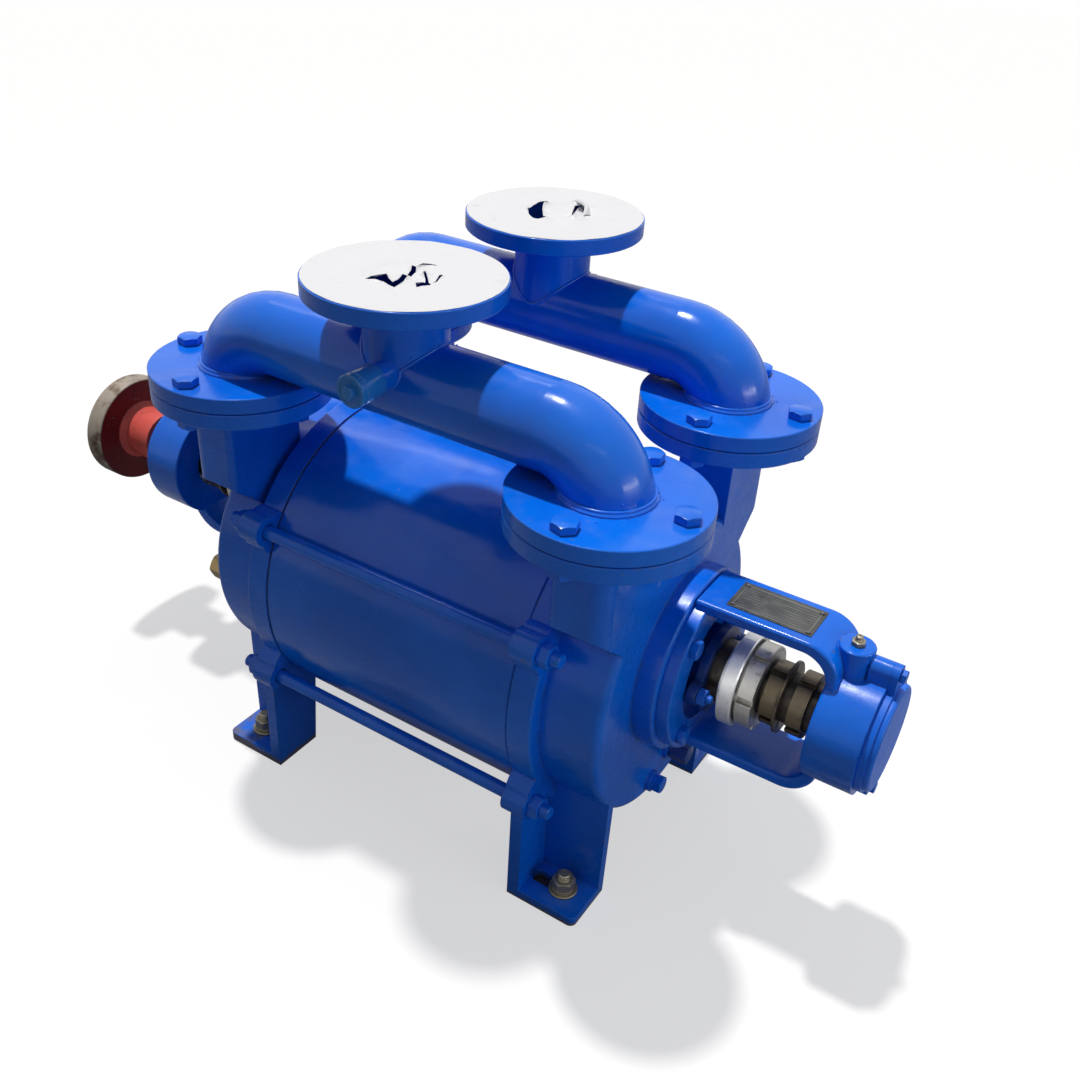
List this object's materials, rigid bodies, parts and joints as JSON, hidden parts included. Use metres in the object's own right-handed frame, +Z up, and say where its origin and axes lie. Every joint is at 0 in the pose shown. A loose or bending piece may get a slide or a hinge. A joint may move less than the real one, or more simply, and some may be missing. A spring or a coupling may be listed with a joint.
{
  "type": "liquid ring vacuum pump",
  "caption": "Liquid ring vacuum pump: drum casing on feet, two overhead flanged pipes, open bearing brackets, a turning vaned wheel on a shaft and a coupling flange.",
  "frame": {"origin": "centre of the foot slot pattern on the floor, under the shaft", "axes": "+X along the shaft toward the closed bearing end, the coupling is at -X, -Y is the suction side with the gauge plug, +Z is up"},
  "size_m": [1.141, 0.466, 0.688],
  "materials": {
    "casing_paint": "glossy blue enamel over cast iron",
    "gland_paint": "dark blue enamel, partly in oil",
    "bolt_steel": "blue enamel over zinc plated steel",
    "stud_steel": "bare steel with light rust",
    "machined_iron": "machined cast iron",
    "gasket_sheet": "pressed fibre sheet",
    "packing_braid": "greased square braid",
    "bearing_steel": "ground steel",
    "nipple_brass": "dull brass",
    "plate_metal": "dark satin sheet, blank",
    "shaft_steel": "turned steel",
    "ring_grey": "machined grey iron",
    "nut_brown": "rust brown iron",
    "coupling_red": "red primer with a bare machined rim"
  },
  "bodies": {
    "stator": {"body_casing": "casing_paint", "front_port_plate": "machined_iron", "rear_port_plate": "machined_iron", "cover_gaskets": "gasket_sheet", "front_cover": "casing_paint", "rear_cover": "casing_paint", "front_cover_plugs": "casing_paint", "rear_cover_plugs": "nipple_brass", "tie_rods": "casing_paint", "tie_rod_nuts": "casing_paint", "suction_manifold": "casing_paint", "discharge_manifold": "casing_paint", "gauge_plug": "casing_paint", "neck_gaskets": "gasket_sheet", "neck_bolts": "bolt_steel", "front_bracket": "casing_paint", "rear_bracket": "casing_paint", "bracket_bolts": "bolt_steel", "packing_rings": "packing_braid", "glands": "gland_paint", "gland_studs": "stud_steel", "front_outer_ring": "bearing_steel", "rear_outer_ring": "bearing_steel", "front_end_cap": "casing_paint", "rear_end_cap": "casing_paint", "cap_screws": "bolt_steel", "grease_nipples": "nipple_brass", "rating_plate": "plate_metal"},
    "rotor": {"shaft": "shaft_steel", "shaft_keys": "shaft_steel", "impeller": "machined_iron", "shaft_sleeves": "shaft_steel", "slinger_rings": "ring_grey", "sleeve_nuts": "ring_grey", "lock_nuts": "nut_brown", "lock_washers": "shaft_steel", "front_inner_ring": "bearing_steel", "rear_inner_ring": "bearing_steel", "coupling_half": "coupling_red"},
    "front_cage": {"front_rollers": "bearing_steel"},
    "rear_cage": {"rear_rollers": "bearing_steel"}
  },
  "joints": [
    {"name": "rotor_spin", "type": "hinge", "parent": "stator", "child": "rotor", "pos_m": [0, 0, 0.282], "axis": [1, 0, 0], "continuous": true},
    {"name": "front_cage_spin", "type": "hinge", "parent": "stator", "child": "front_cage", "pos_m": [0.4715, 0, 0.282], "axis": [1, 0, 0], "continuous": true},
    {"name": "rear_cage_spin", "type": "hinge", "parent": "stator", "child": "rear_cage", "pos_m": [-0.4715, 0, 0.282], "axis": [1, 0, 0], "continuous": true}
  ],
  "couplings": [
    {"joint": "front_cage_spin", "follows": "rotor_spin", "ratio": 0.408},
    {"joint": "rear_cage_spin", "follows": "rotor_spin", "ratio": 0.418}
  ]
}
